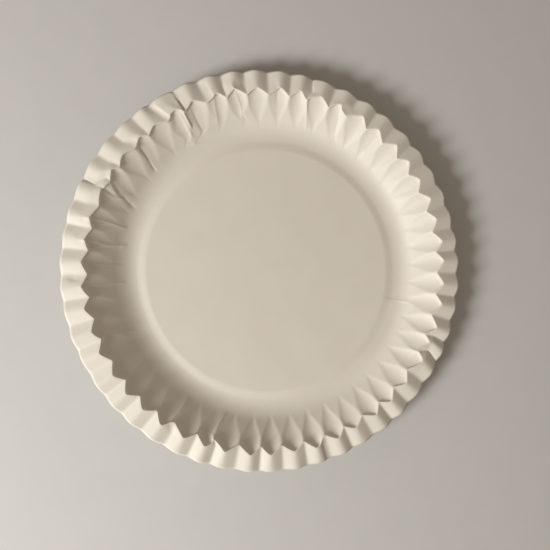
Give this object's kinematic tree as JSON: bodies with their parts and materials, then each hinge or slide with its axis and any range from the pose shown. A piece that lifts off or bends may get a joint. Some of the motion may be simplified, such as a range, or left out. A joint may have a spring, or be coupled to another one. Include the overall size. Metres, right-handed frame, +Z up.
{
  "type": "paper plate",
  "caption": "Round disposable paper plate with a flat well, a sloped wall of pressed flutes and a wavy, down-turned rim.",
  "frame": {"origin": "on the surface the plate stands on, under the centre of its well", "axes": "+Z up, along the plate's axis; the middle of the first groove is turned 2.35 degrees from +X"},
  "size_m": [0.2303, 0.2303, 0.0171],
  "materials": {
    "board": "white coated board, slight sheen"
  },
  "bodies": {
    "root": {"paper_plate": "board"}
  },
  "joints": []
}
